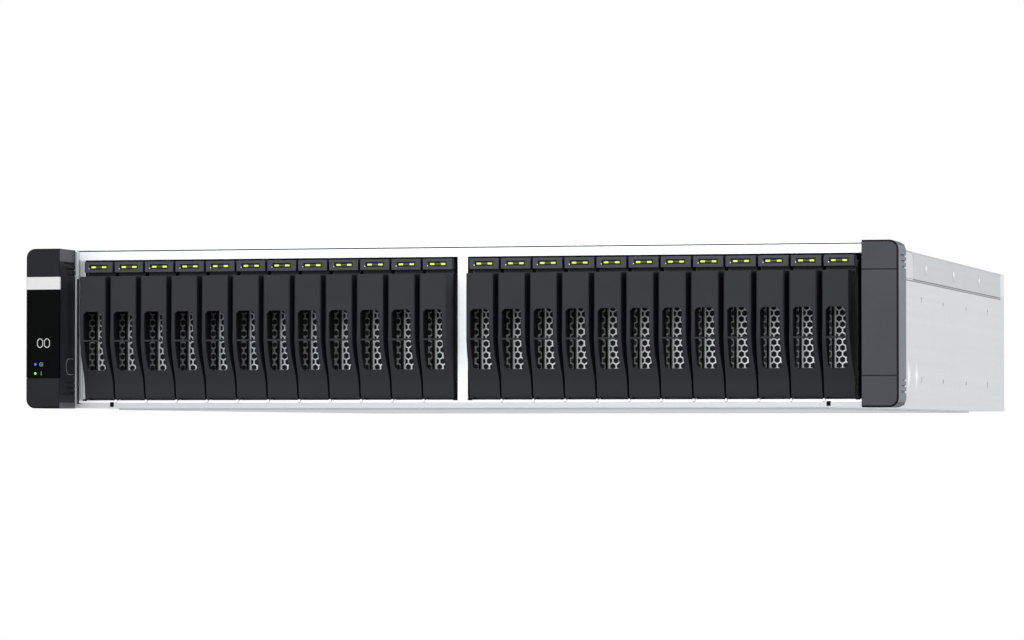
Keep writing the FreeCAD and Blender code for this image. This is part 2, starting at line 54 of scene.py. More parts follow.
trays = sorted(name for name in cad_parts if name.startswith("drive_tray_"))
cage_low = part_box("drive_cage")[0]
window_low, window_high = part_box("display_window")
ear_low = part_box("left_ear_cover")[0]
first_low, first_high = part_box(trays[0])
lid_low, lid_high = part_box("top_cover")
half_case = lid_high.x
y_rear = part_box("chassis_tub")[1].y

# Thickness of a print, and of a flat mark, mostly of painted shade, that stands for a hole, a seam or a press
# mark
film = 0.00002
mark = 0.00003
# The lid's sheet lies this much lower, so that its screws stay inside the CAD box
lid_top = lid_high.z - 4 * film


def number(name, description, default, **kind):
    return bpy.props.FloatProperty(name=name, description=description, default=default, **kind)


def length(name, description, default):
    return number(name, description, default, unit="LENGTH", precision=5, min=0.0)


def colour(name, description, default):
    return bpy.props.FloatVectorProperty(name=name, description=description, default=default, size=3,
                                         min=0.0, max=1.0, subtype="COLOR")


class FinishColours(bpy.types.PropertyGroup):
    """Colours of the finishes."""
    zinc: colour("Zinc sheet", "Bright plated sheet of the case", (0.80, 0.83, 0.86))
    zinc_dark: colour("Module sheet", "Plated sheet of the plug-in modules", (0.52, 0.54, 0.57))
    ear: colour("Ear plastic", "Textured moulding of the left rack ear", (0.0085, 0.009, 0.0115))
    # Painted light: the right ear is the same plastic as the left, coloured lighter and bluer as if more
    # strongly lit
    ear_painted_lit: colour("Grey ear plastic", "Textured moulding of the right rack ear", (0.049, 0.054, 0.066))
    lever: colour("Lever plastic", "Satin moulding of the tray levers", (0.0145, 0.0157, 0.0208))
    # The rim colour is also painted shade inside the ears' notches
    rim: colour("Ear rim", "Glossy bevel round the ears", (0.004, 0.004, 0.005))
    glass: colour("Display glass", "Black panel of the display", (0.0015, 0.002, 0.002))
    band: colour("Band", "Plain band above the display", (0.95, 0.95, 0.96))
    digit: colour("Digits", "Lit strokes of the counter", (0.42, 0.43, 0.43))
    tray_lamp: colour("Tray lamp", "Lit lenses in the tray heads", (0.66, 0.86, 0.05))
    blue_lamp: colour("Upper panel lamp", "Lit dot below the counter", (0.05, 0.14, 0.9))
    green_lamp: colour("Lower panel lamp", "Lit dot at the panel's foot", (0.2, 0.85, 0.06))


class ShieldSizes(bpy.types.PropertyGroup):
    """Sizes of the perforated sheet in a tray's front."""
    pitch: length("Pitch", "Distance between two neighbouring holes", 0.0036)
    hole: length("Hole", "Width of a hole across its flats", 0.0029)
    sheet: length("Sheet", "Thickness of the sheet", 0.0008)
    strip: length("Strip", "Width of the plain strip along the sheet's left edge", 0.0006)
    wall: length("Wall", "Thickness of the channel's glossy side walls", 0.00025)
    fold: length("Fold", "How far the sheet's folded left edge stands forward", 0.0026)
    first_row: length("First row", "Height of the lowest row of holes", 0.02002)
    shift: length("Shift", "How far the lowest row's middle hole lies left of the sheet's middle", 0.0003)


class PanelSizes(bpy.types.PropertyGroup):
    """Sizes of the prints on the left ear's glass."""
    digit_height: length("Digit height", "Height of a digit", 0.0051)
    digit_width: length("Digit width", "Width of a digit", 0.0034)
    stroke: length("Stroke", "Width of a digit's stroke", 0.0004)
    digit_z: length("Digit place", "Height of the digits' middle", 0.0365)
    lamp: length("Lamp", "Radius of a panel lamp", 0.00065)


class StudioSettings(bpy.types.PropertyGroup):
    """Camera and light."""
    lens: number("Lens", "Focal length on a 36 mm sensor", 152.86, unit="CAMERA")
    place: bpy.props.FloatVectorProperty(name="Camera place", description="Where the camera stands", size=3,
                                         default=(0.6034, -2.5269, -0.0113), subtype="TRANSLATION")
    turn: number("Turn", "Camera's turn to the left", math.radians(14.25), subtype="ANGLE")
    tilt: number("Tilt", "Camera's tilt up", math.radians(1.456), subtype="ANGLE")
    fill: number("Fill", "Strength of the light from all round", 0.5, min=0.0)
    fill_below: number("Fill below", "Strength of the light from below", 0.25, min=0.0)


class NodeBench:
    """Short calls for filling a node tree. A node that is fed to a socket gives its first output."""

    def __init__(self, tree):
        self.tree = tree

    def add(self, kind, inputs=None, **settings):
        node = self.tree.nodes.new(kind)
        for key, value in settings.items():
            setattr(node, key, value)
        for key, value in (inputs or {}).items():
            self.feed(node.inputs[key], value)
        return node

    def feed(self, socket, value):
        if isinstance(value, bpy.types.Node):
            value = value.outputs[0]
        if isinstance(value, bpy.types.NodeSocket):
            self.tree.links.new(value, socket)
        else:
            socket.default_value = value

    def math(self, operation, *values):
        return self.add("ShaderNodeMath", dict(enumerate(values)), operation=operation)

    def vector(self, operation, *values):
        return self.add("ShaderNodeVectorMath", dict(enumerate(values)), operation=operation)

    def noise(self, place, scale, detail, rough, twist=0.0):
        return self.add("ShaderNodeTexNoise", {"Vector": place, "Scale": scale, "Detail": detail,
                                               "Roughness": rough, "Distortion": twist})

    def geo(self, kind, inputs=None, **settings):
        return self.add("GeometryNode" + kind, inputs, **settings)


def new_group(name, kind, inputs, outputs):
    """A node group's bench, inputs and result. Text in a default's place is the socket's kind."""
    tree = bpy.data.node_groups.new(name, kind)
    for label, default in inputs.items():
        socket = {int: "Int", float: "Float"}.get(type(default), default)
        made = tree.interface.new_socket(label, in_out="INPUT", socket_type="NodeSocket" + socket)
        if socket != default:
            made.default_value = default
    for label, socket in outputs.items():
        tree.interface.new_socket(label, in_out="OUTPUT", socket_type="NodeSocket" + socket)
    bench = NodeBench(tree)
    return bench, bench.add("NodeGroupInput").outputs, bench.add("NodeGroupOutput").inputs


def new_texture(name, inputs, *outputs):
    return new_group(name, "ShaderNodeTree", {"Vector": "Vector", **inputs}, dict.fromkeys(outputs, "Float"))


def new_pattern(name, **inputs):
    geometry = {"Geometry": "Geometry"}
    return new_group(name, "GeometryNodeTree", {**geometry, **inputs}, geometry)


def make_grain_group():
    """Fine moulded texture with slow changes of tone."""
    bench, put, out = new_texture("moulded_grain", {"Grain": 2200.0, "Patches": 26.0}, "Height", "Tone")
    fine = bench.noise(put["Vector"], put["Grain"], 3.0, 0.6)
    slow = bench.noise(put["Vector"], put["Patches"], 4.0, 0.55)
    bench.feed(out["Height"], fine)
    bench.feed(out["Tone"], bench.math("MULTIPLY_ADD", fine, 0.35, bench.math("MULTIPLY", slow, 0.65)))


def make_sheet_group():
    """Rolling streaks and faint crystal patches of plated sheet."""
    bench, put, out = new_texture("rolled_sheet", {"Streaks": "Vector", "Crystals": 420.0}, "Height", "Tone")
    streak = bench.noise(bench.vector("MULTIPLY", put["Vector"], put["Streaks"]), 1.0, 3.0, 0.65)
    crystal = bench.add("ShaderNodeTexVoronoi", {"Vector": put["Vector"], "Scale": put["Crystals"]})
    shade = bench.add("ShaderNodeSeparateColor", {0: crystal.outputs["Color"]})
    bench.feed(out["Height"], streak)
    bench.feed(out["Tone"], bench.math("MULTIPLY_ADD", streak, 0.85, bench.math("MULTIPLY", shade, 0.15)))


def make_marks_group():
    """Dust and handling marks as a mask from 0, clean, to 1."""
    bench, put, out = new_texture("handling_marks", {"Size": 30.0, "Amount": 0.5}, "Mask")
    cloud = bench.noise(put["Vector"], put["Size"], 6.0, 0.7, 0.4)
    spots = bench.add("ShaderNodeMapRange", {"Value": cloud, "From Min": 0.42, "From Max": 0.75})
    bench.feed(out["Mask"], bench.math("MULTIPLY", spots, put["Amount"]))


def make_hex_tree():
    """An upright sheet of hexagonal holes, trimmed to a size."""
    bench, put, out = new_pattern("hex_sheet", Columns=6, Rows=12, Pitch=0.0035, Hole=0.0028, Sheet=0.0006,
                                  Start="Vector", Low="Vector", High="Vector")
    index = bench.geo("InputIndex")
    row = bench.math("FLOOR", bench.math("DIVIDE", index, put["Columns"]))
    column = bench.math("SUBTRACT", index, bench.math("MULTIPLY", row, put["Columns"]))
    shift = bench.math("MULTIPLY", bench.math("MODULO", row, 2.0), 0.5)
    right = bench.math("MULTIPLY", bench.math("ADD", column, shift), put["Pitch"])
    up = bench.math("MULTIPLY", row, bench.math("MULTIPLY", put["Pitch"], math.sqrt(3) / 2))
    place = bench.vector("ADD", put["Start"], bench.add("ShaderNodeCombineXYZ", {0: right, 2: up}))
    count = bench.math("MULTIPLY", put["Columns"], put["Rows"])
    points = bench.geo("Points", {"Count": count, "Position": place})
    radius = bench.math("DIVIDE", put["Pitch"], math.sqrt(3))
    cell = bench.geo("MeshCircle", {"Vertices": 6, "Radius": radius}, fill_type="NGON")
    inset = bench.geo("ExtrudeMesh", {0: cell, "Offset Scale": 0.0})
    top = inset.outputs["Top"]
    share = bench.math("DIVIDE", put["Hole"], put["Pitch"])
    shrunk = bench.geo("ScaleElements", {0: inset, "Selection": top, "Scale": share})
    opened = bench.geo("DeleteGeometry", {0: shrunk, "Selection": top}, domain="FACE")
    raised = bench.geo("ExtrudeMesh", {0: opened, "Offset Scale": put["Sheet"], "Individual": False})
    both = bench.geo("JoinGeometry", {0: raised})
    bench.feed(both.inputs[0], bench.geo("FlipFaces", {0: opened}))
    upright = bench.geo("Transform", {0: both, "Rotation": (math.pi / 2, math.pi / 6, 0.0)})
    cells = bench.geo("InstanceOnPoints", {"Points": points, "Instance": upright})
    above = bench.vector("MAXIMUM", bench.geo("InputPosition"), put["Low"])
    within = bench.vector("MINIMUM", above, put["High"])
    trimmed = bench.geo("SetPosition", {0: bench.geo("RealizeInstances", {0: cells}), "Position": within})
    bench.feed(out[0], bench.geo("MergeByDistance", {0: trimmed, "Distance": 1e-6}))


def make_stud_tree():
    """A row of like studs with flat tops, which stand on any side of the case."""
    bench, put, out = new_pattern("stud_row", Count=2, Start="Vector", Step="Vector", Turn="Vector",
                                  Stretch="Vector", Sides=16, Radius=0.002, Top=0.002, Height=0.0004)
    row = bench.geo("MeshLine", {"Count": put["Count"], "Start Location": put["Start"],
                                 "Offset": put["Step"]})
    stud = bench.geo("MeshCone", {"Vertices": put["Sides"], "Radius Top": put["Top"],
                                  "Radius Bottom": put["Radius"], "Depth": put["Height"]})
    placed = bench.geo("InstanceOnPoints", {"Points": row, "Instance": stud, "Rotation": put["Turn"],
                                            "Scale": put["Stretch"]})
    bench.feed(out[0], bench.geo("RealizeInstances", {0: placed}))


def make_guard_tree():
    """Round wires of a fan guard, one inside the other."""
    bench, put, out = new_pattern("guard_wires", Count=5, Centre="Vector", Inner=0.008, Pitch=0.0045,
                                  Wire=0.0006)
    row = bench.geo("MeshLine", {"Count": put["Count"], "Start Location": put["Centre"],
                                 "Offset": (0.0, 0.0, 0.0)})
    radius = bench.math("ADD", put["Inner"], bench.math("MULTIPLY", bench.geo("InputIndex"), put["Pitch"]))
    circle = bench.geo("CurvePrimitiveCircle", {"Resolution": 40, "Radius": 1.0})
    rings = bench.geo("InstanceOnPoints", {"Points": row, "Instance": circle, "Scale": radius,
                                           "Rotation": (math.pi / 2, 0.0, 0.0)})
    profile = bench.geo("CurvePrimitiveCircle", {"Resolution": 6, "Radius": put["Wire"]})
    real = bench.geo("RealizeInstances", {0: rings})
    bench.feed(out[0], bench.geo("CurveToMesh", {"Curve": real, "Profile Curve": profile}))


def shaded(name):
    """A new material's bench, its shader's inputs and the object coordinates."""
    material = bpy.data.materials.new(name)
    material.use_nodes = True
    bench = NodeBench(material.node_tree)
    look = material.node_tree.nodes["Principled BSDF"].inputs
    return bench, look, bench.add("ShaderNodeTexCoord").outputs["Object"]


def placed_group(bench, name, **values):
    return bench.add("ShaderNodeGroup", values, node_tree=bpy.data.node_groups[name]).outputs


def tinted(bench, factor, low, high):
    """A colour that runs from low to high with a factor."""
    ramp = bench.add("ShaderNodeValToRGB", {"Fac": factor})
    for stop, position, tone in zip(ramp.color_ramp.elements, (0.25, 0.75), (low, high)):
        stop.position = position
        stop.color = (*tone, 1.0)
    return ramp


def ranged(bench, factor, low, high):
    return bench.add("ShaderNodeMapRange", {"Value": factor, "To Min": low, "To Max": high})


def dented(bench, height, strength, distance):
    return bench.add("ShaderNodeBump", {"Height": height, "Strength": strength, "Distance": distance})


def scaled(tone, share):
    return tuple(min(1.0, value * share) for value in tone)


def make_plastic(name, tone, rough, shine, bump, grain=2200.0):
    """Moulded plastic with a fine texture and faint handling marks."""
    bench, look, place = shaded(name)
    texture = placed_group(bench, "moulded_grain", Vector=place, Grain=grain)
    marks = placed_group(bench, "handling_marks", Vector=place, Amount=0.5)
    bench.feed(look["Base Color"], tinted(bench, texture["Tone"], scaled(tone, 0.82), scaled(tone, 1.18)))
    bench.feed(look["Roughness"], ranged(bench, marks["Mask"], rough, rough - 0.12))
    bench.feed(look["Normal"], dented(bench, texture["Height"], bump, 0.0002))
    look["Specular IOR Level"].default_value = shine


def make_zinc(name, tone, rough, streaks, metal=0.75):
    """Plated sheet with rolling streaks."""
    bench, look, place = shaded(name)
    texture = placed_group(bench, "rolled_sheet", Vector=place, Streaks=streaks)
    marks = placed_group(bench, "handling_marks", Vector=place, Size=14.0, Amount=0.6)
    bench.feed(look["Base Color"], tinted(bench, texture["Tone"], scaled(tone, 0.965), scaled(tone, 1.03)))
    bench.feed(look["Roughness"], ranged(bench, marks["Mask"], rough, rough + 0.14))
    bench.feed(look["Normal"], dented(bench, texture["Height"], 0.03, 0.0003))
    look["Metallic"].default_value = metal


def make_lit(name, tone, strength):
    """A lit lens whose glow is a little uneven."""
    bench, look, place = shaded(name)
    texture = placed_group(bench, "moulded_grain", Vector=place, Grain=900.0, Patches=700.0)
    shade = tinted(bench, texture["Tone"], scaled(tone, 0.8), scaled(tone, 1.1))
    bench.feed(look["Base Color"], shade)
    bench.feed(look["Emission Color"], shade)
    look["Emission Strength"].default_value = strength
    look["Roughness"].default_value = 0.3


def make_glass(name, tone):
    """Polished black panel."""
    bench, look, place = shaded(name)
    marks = placed_group(bench, "handling_marks", Vector=place, Size=60.0, Amount=1.0)
    bench.feed(look["Base Color"], tinted(bench, marks["Mask"], tone, scaled(tone, 1.6)))
    bench.feed(look["Roughness"], ranged(bench, marks["Mask"], 0.06, 0.16))
    look["Specular IOR Level"].default_value = 0.04


class RACK_OT_finishes(bpy.types.Operator):
    """Make the finishes and patterns that all pieces share"""
    bl_idname = "rack.finishes"
    bl_label = "Make finishes"

    # How fine the streaks of a sheet are along X, Y and Z
    across = (3.0, 260.0, 260.0)
    lengthwise = (260.0, 3.0, 260.0)
    fine_upright = (700.0, 700.0, 9.0)
    fine_lengthwise = (700.0, 9.0, 700.0)
    ear_grain = 1700.0

    def execute(self, context):
        for make in (make_grain_group, make_sheet_group, make_marks_group, make_hex_tree, make_stud_tree,
                     make_guard_tree):
            make()
        tones = context.scene.rack_finish
        make_zinc("zinc_sheet", tones.zinc, 0.44, self.across)
        # Painted shade: a darker copy of the plated zinc for the case sides and the bottom rail
        make_zinc("zinc_shaded_side", scaled(tones.zinc, 0.84), 0.42, self.lengthwise)
        # Painted shade: a darker copy of the plated zinc for the top faces
        make_zinc("zinc_shaded_lid", scaled(tones.zinc, 0.6), 0.62, self.lengthwise)
        # Painted shade: a darker copy of the plated zinc for the lid's side flanges
        make_zinc("zinc_shaded_flange", scaled(tones.zinc, 0.72), 0.4, self.lengthwise)
        # Plated sheet of the modules, also used for painted shade under the bottom rail's step
        make_zinc("module_zinc_and_shade", tones.zinc_dark, 0.4, self.across)
        # Painted shade: a dark copy of the zinc for seams, holes and the rings round pressed shapes
        make_zinc("zinc_groove_shade", scaled(tones.zinc, 0.22), 0.5, self.lengthwise)
        make_zinc("screw_zinc", scaled(tones.zinc, 0.8), 0.28, (300.0, 300.0, 300.0), 0.95)
        # A bright plated sheet, painted lighter than the case zinc against the shade in the tray pockets
        make_zinc("shield_zinc_painted_lighter", scaled(tones.zinc, 1.12), 0.4, self.fine_upright, 0.6)
        make_zinc("drive_case", (0.1, 0.1, 0.105), 0.42, self.fine_lengthwise, 0.9)
        make_zinc("contact_gold", (0.75, 0.5, 0.16), 0.3, self.fine_upright, 0.95)
        make_plastic("ear_charcoal", tones.ear, 0.62, 0.2, 0.35, self.ear_grain)
        # Painted light: the ear plastic made lighter and bluer for the more strongly lit right ear
        make_plastic("ear_painted_lit", tones.ear_painted_lit, 0.6, 0.35, 0.35, self.ear_grain)
        # Painted light: the right ear's outer side, coloured lighter where the side lamp falls on it
        make_plastic("ear_painted_lit_side", scaled(tones.ear_painted_lit, 3.3), 0.55, 0.35, 0.3, self.ear_grain)
        # Painted sheen: a much lighter copy of the ear plastic that stands in for a reflection
        make_plastic("ear_painted_sheen", scaled(tones.ear, 5.5), 0.5, 0.4, 0.3, self.ear_grain)
        # Glossy rim, and painted shade inside the notches
        make_plastic("ear_rim_and_notch_shade", tones.rim, 0.4, 0.1, 0.05)
        make_plastic("lever_satin", tones.lever, 0.58, 0.3, 0.14)
        make_plastic("head_satin", scaled(tones.lever, 3.0), 0.45, 0.35, 0.14)
        # Black plastic, also the painted shade behind the tray shields' holes
        make_plastic("dark_plastic_and_shade", (0.006, 0.006, 0.007), 0.5, 0.25, 0.1)
        make_plastic("pocket_gloss", (0.004, 0.004, 0.005), 0.14, 0.4, 0.0)
        make_plastic("shadow_hole", (0.004, 0.004, 0.005), 0.8, 0.1, 0.1)
        make_plastic("band_white", tones.band, 0.4, 0.3, 0.04)
        make_plastic("board_green", (0.012, 0.07, 0.03), 0.4, 0.4, 0.1)
        # Grey prints on the panel, and the painted highlight round the thumb tab
        make_plastic("print_grey", (0.36, 0.36, 0.36), 0.5, 0.2, 0.02)
        make_plastic("lens_bridge", (0.09, 0.09, 0.1), 0.35, 0.4, 0.05)
        make_plastic("usb_blue", (0.02, 0.09, 0.4), 0.4, 0.4, 0.05)
        make_plastic("latch_teal", (0.02, 0.2, 0.19), 0.45, 0.4, 0.1)
        make_glass("panel_black", tones.glass)
        make_lit("tray_lamp", tones.tray_lamp, 0.55)
        make_lit("digit_light", tones.digit, 0.6)
        make_lit("blue_lamp", tones.blue_lamp, 0.9)
        make_lit("green_lamp", tones.green_lamp, 0.8)
        make_lit("amber_lamp", (0.9, 0.4, 0.04), 0.6)
        return {"FINISHED"}


def finish(name):
    return bpy.data.materials[name]


def dress(node, name):
    """Gives a CAD node a finish."""
    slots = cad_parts[node].data.materials
    slots.clear()
    slots.append(finish(name))


def copied(node):
    """A merged copy of a CAD node's mesh with its flat faces joined."""
    shape = bmesh.new()
    shape.from_mesh(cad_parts[node].data)
    bmesh.ops.remove_doubles(shape, verts=shape.verts, dist=1e-6)
    bmesh.ops.dissolve_limit(shape, angle_limit=math.radians(0.5), verts=shape.verts, edges=shape.edges)
    return shape


def islands(shape):
    """The faces of each connected part of a mesh, the part with the largest area first."""
    seen, found = set(), []
    for start in shape.faces:
        if start in seen:
            continue
        seen.add(start)
        todo, faces = [start], []
        while todo:
            face = todo.pop()
            faces.append(face)
            for edge in face.edges:
                fresh = [other for other in edge.link_faces if other not in seen]
                seen.update(fresh)
                todo += fresh
        found.append(faces)
    return sorted(found, key=lambda faces: -sum(face.calc_area() for face in faces))


def reach(faces):
    """The lowest and the highest corner of the box round some faces."""
    points = [vert.co for face in faces for vert in face.verts]
    return Vector(map(min, zip(*points))), Vector(map(max, zip(*points)))


def cut_out(faces):
    """A mesh of its own with a copy of some faces."""
    part, twins = bmesh.new(), {}
    for face in faces:
        for vert in face.verts:
            if vert not in twins:
                twins[vert] = part.verts.new(vert.co)
        part.faces.new([twins[vert] for vert in face.verts])
    return part


def softened(shape, width, angle=35.0):
    """Bevels a mesh's edges that are sharper than an angle in degrees."""
    limit = math.radians(angle)
    sharp = [e for e in shape.edges if len(e.link_faces) == 2 and e.calc_face_angle(0.0) > limit]
    bmesh.ops.bevel(shape, geom=sharp, offset=width, offset_type="OFFSET", segments=2, profile=0.5,
                    affect="EDGES", clamp_overlap=True, harden_normals=False)


def round_points(x, z, y, radius, count):
    """Points round a circle that faces the front or the back."""
    turns = [2 * math.pi * step / count for step in range(count)]
    return [(x + radius * math.cos(turn), y, z + radius * math.sin(turn)) for turn in turns]


def linked(name, data):
    """A new object in the scene."""
    made = bpy.data.objects.new(name, data)
    bpy.context.scene.collection.objects.link(made)
    return made


def set_out(name, mesh, body, slot, *replaced, smooth=True):
    """Puts a mesh in the scene as a piece that rides on a body."""
    made = linked(name, mesh)
    if smooth:
        mesh.shade_smooth()
        mesh.set_sharp_from_angle(angle=math.radians(30.0))
        made.modifiers.new("even_normals", "WEIGHTED_NORMAL").keep_sharp = True
    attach(made, body)
    if replaced:
        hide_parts(*replaced)


# How a stud turns to stand on each side of the case, and the way that this side faces
facing = {"right": ((0.0, math.pi / 2, 0.0), (1, 0, 0)), "left": ((0.0, -math.pi / 2, 0.0), (-1, 0, 0)),
          "front": ((math.pi / 2, 0.0, 0.0), (0, -1, 0)), "back": ((-math.pi / 2, 0.0, 0.0), (0, 1, 0)),
          "top": ((0.0, 0.0, 0.0), (0, 0, 1))}


class Draft:
    """A mesh being built, with the finishes that its faces can take. It starts empty or from a CAD node."""

    def __init__(self, *finishes, node=None, bevel=0.0):
        self.finishes = finishes
        self.shape = copied(node) if node else bmesh.new()
        if bevel:
            softened(self.shape, bevel)
            self.shape.normal_update()

    def paint(self, faces, label, where=None):
        """Gives a finish to faces, or to those whose normal and middle pass a test."""
        for face in faces:
            if where is None or where(face.normal, face.calc_center_median()):
                face.material_index = self.finishes.index(label)

    def join(self, part, label=None):
        """Adds another mesh, all in one finish or in the finishes it has."""
        if label:
            self.paint(part.faces, label)
        spare = bpy.data.meshes.new("spare")
        part.to_mesh(spare)
        part.free()
        self.shape.from_mesh(spare)
        bpy.data.meshes.remove(spare)

    def block(self, low, high, label, bevel=0.0):
        """Adds a box, with its edges rounded off where a bevel is given."""
        part = bmesh.new()
        size = Vector(high) - Vector(low)
        middle = (Vector(high) + Vector(low)) / 2
        place = Matrix.Translation(middle) @ Matrix.Diagonal((*size, 1.0))
        bmesh.ops.create_cube(part, size=1.0, matrix=place)
        if bevel:
            softened(part, bevel)
        self.join(part, label)

    def slab(self, outline, axis, depth, label):
        """Adds a closed polygon, swept by a depth along an axis."""
        part = bmesh.new()
        face = part.faces.new([part.verts.new(point) for point in outline])
        swept = bmesh.ops.extrude_face_region(part, geom=[face])
        moved = [item for item in swept["geom"] if isinstance(item, bmesh.types.BMVert)]
        bmesh.ops.translate(part, verts=moved, vec=Vector(axis) * depth)
        bmesh.ops.recalc_face_normals(part, faces=part.faces)
        self.join(part, label)

    def ring(self, outer, inner, axis, depth, label):
        """Adds a frame between two outlines with as many corners, swept by a depth."""
        part = bmesh.new()
        count = len(outer)
        out0, out1, in0, in1 = [[part.verts.new(Vector(point) + shift) for point in line]
                                for line in (outer, inner) for shift in (Vector(), Vector(axis) * depth)]
        for a, b in ((out0, in0), (in0, in1), (in1, out1), (out1, out0)):
            for step in range(count):
                after = (step + 1) % count
                part.faces.new((a[step], a[after], b[after], b[step]))
        bmesh.ops.recalc_face_normals(part, faces=part.faces)
        self.join(part, label)

    def grow(self, tree_name, label, **values):
        """Adds what a geometry tree makes with these inputs."""
        base = bpy.data.meshes.new("spare")
        holder = linked("spare", base)
        modifier = holder.modifiers.new("tree", "NODES")
        modifier.node_group = bpy.data.node_groups[tree_name]
        for item in modifier.node_group.interface.items_tree:
            if item.in_out == "INPUT" and item.name in values:
                modifier[item.identifier] = values[item.name]
        bpy.context.view_layer.update()
        made = bpy.data.meshes.new_from_object(holder.evaluated_get(bpy.context.evaluated_depsgraph_get()))
        bpy.data.objects.remove(holder)
        part = bmesh.new()
        part.from_mesh(made)
        for mesh in (base, made):
            bpy.data.meshes.remove(mesh)
        self.join(part, label)

    def studs(self, label, side, start, step, count, radius, height, top=None, stretch=1.0, sides=16):
        """Adds a row of studs on one side of the case; stretch lengthens them upwards, or on top across."""
        self.grow("stud_row", label, Count=count, Start=start, Step=step, Turn=facing[side][0], Sides=sides,
                  Stretch=(1.0, stretch, 1.0) if side in ("front", "back") else (stretch, 1.0, 1.0),
                  Radius=radius, Top=radius if top is None else top, Height=height)

    def stud(self, label, side, place, *sizes, **shape):
        self.studs(label, side, place, (0, 0, 0), 1, *sizes, **shape)

    def screws(self, side, start, step, count):
        """Adds a row of cross-head screws: a low domed head on a ring of painted shade, with a cross of
        painted shade.
        """
        radius = 0.0022
        tall = 2 * film if side == "top" else 0.0006
        self.studs("shadow_hole", side, start, step, count, 1.18 * radius, film)
        self.studs("screw_zinc", side, start, step, count, radius, tall, 0.86 * radius)
        above = Vector(start) + Vector(facing[side][1]) * tall
        for arm, stretch in ((0.5, 0.28), (0.14, 3.6)):
            self.studs("shadow_hole", side, above, step, count, arm * radius, film, stretch=stretch, sides=8)

    def mesh(self, name):
        """Ends the draft and gives its mesh."""
        mesh = bpy.data.meshes.new(name)
        self.shape.to_mesh(mesh)
        self.shape.free()
        for label in self.finishes:
            mesh.materials.append(finish(label))
        return mesh

    def piece(self, name, body, slot, *replaced, smooth=True):
        """Ends the draft as a piece that rides on a body."""
        set_out(name, self.mesh(name), body, slot, *replaced, smooth=smooth)


class RACK_OT_trays(bpy.types.Operator):
    """Build the drive trays with their perforated shields and lit heads"""
    bl_idname = "rack.trays"
    bl_label = "Build drive trays"

    # What tells a tray's solids apart: the least depth of carrier and drive, then the least heights
    long_depth = 0.08
    carrier_height = 0.0715
    channel_height = 0.02

    def execute(self, context):
        middle = (first_low.x + first_high.x) / 2
        draft = Draft("head_satin", "drive_case", "shield_zinc_painted_lighter", "tray_lamp", "dark_plastic_and_shade", "lens_bridge",
                      "pocket_gloss")
        source = copied(trays[0])
        solids = islands(source)
        lens_low, lens_high = reach(solids[-1])
        slot_z = (lens_low.z + lens_high.z) / 2
        for faces in solids:
            low, high = reach(faces)
            size = high - low
            part = cut_out(faces)
            if size.y > self.long_depth and size.z > self.carrier_height:
                y_head = low.y
                softened(part, 0.00025)
                draft.paint(part.faces, "head_satin")
                draft.paint(part.faces, "dark_plastic_and_shade", lambda way, spot: abs(spot.z - slot_z) < 0.0014
                            and y_head + 0.0001 < spot.y < y_head + 0.0013)
                draft.join(part)
            elif size.y > self.long_depth:
                softened(part, 0.0006)
                draft.join(part, "drive_case")
            elif size.z > self.channel_height:
                part.free()
                self.add_channel(draft, context.scene.rack_shield, low, high)
            else:
                for vert in part.verts:
                    vert.co.z = slot_z + 0.8 * (vert.co.z - slot_z)
                softened(part, 0.0002)
                draft.join(part, "tray_lamp")
        source.free()
        head = Vector((middle, y_head, slot_z))
        # Back of the lens slot, the bridge between the lenses and the bright speck to their left
        for low, high, label, bevel in (
                ((-0.0052, 0.001, -0.0013), (0.0052, 0.00115, 0.0013), "dark_plastic_and_shade", 0.0),
                ((-0.0017, 0.0007, -0.0004), (0.0017, 0.0011, 0.0004), "lens_bridge", 0.0001),
                ((-0.0057, -film, -0.0012), (-0.0053, 0.0002, -0.0006), "shield_zinc_painted_lighter", 0.00005)):
            draft.block(head + Vector(low), head + Vector(high), label, bevel)
        mesh = draft.mesh("tray")
        for name in trays:
            low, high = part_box(name)
            own = mesh.copy()
            own.transform(Matrix.Translation(((low.x + high.x) / 2 - middle, 0.0, 0.0)))
            set_out(name + "_dressed", own, "tray_" + name[-2:], "tray_alloy", name)
        bpy.data.meshes.remove(mesh)
        return {"FINISHED"}

    def add_channel(self, draft, sizes, low, high):
        """A tray's channel: dark glossy side walls and a bright perforated sheet across its back."""
        middle = (low.x + high.x) / 2
        back = high.y - sizes.sheet
        left, right = low.x + sizes.sheet, high.x - sizes.sheet
        edge = left + sizes.strip
        rows = math.ceil((high.z - sizes.first_row) / (sizes.pitch * math.sqrt(3) / 2)) + 1
        draft.grow("hex_sheet", "shield_zinc_painted_lighter", Columns=5, Rows=rows, Pitch=sizes.pitch, Hole=sizes.hole,
                   Sheet=sizes.sheet / 2,
                   Start=(middle - sizes.shift - 2 * sizes.pitch, back + sizes.sheet / 2, sizes.first_row),
                   Low=(edge, back, low.z), High=(right, high.y, high.z))
        draft.block((left, back, low.z), (edge, high.y, high.z), "shield_zinc_painted_lighter")
        draft.block((left - sizes.wall, back - sizes.fold, low.z), (left, back, high.z), "dark_plastic_and_shade")
        # Painted shade: a black plate just behind the sheet, so that its holes show dark
        draft.block((low.x, high.y, low.z), (high.x, high.y + 0.0003, high.z), "dark_plastic_and_shade")
        for x in (low.x, high.x - sizes.wall):
            draft.block((x, low.y, low.z), (x + sizes.wall, high.y, high.z), "pocket_gloss")


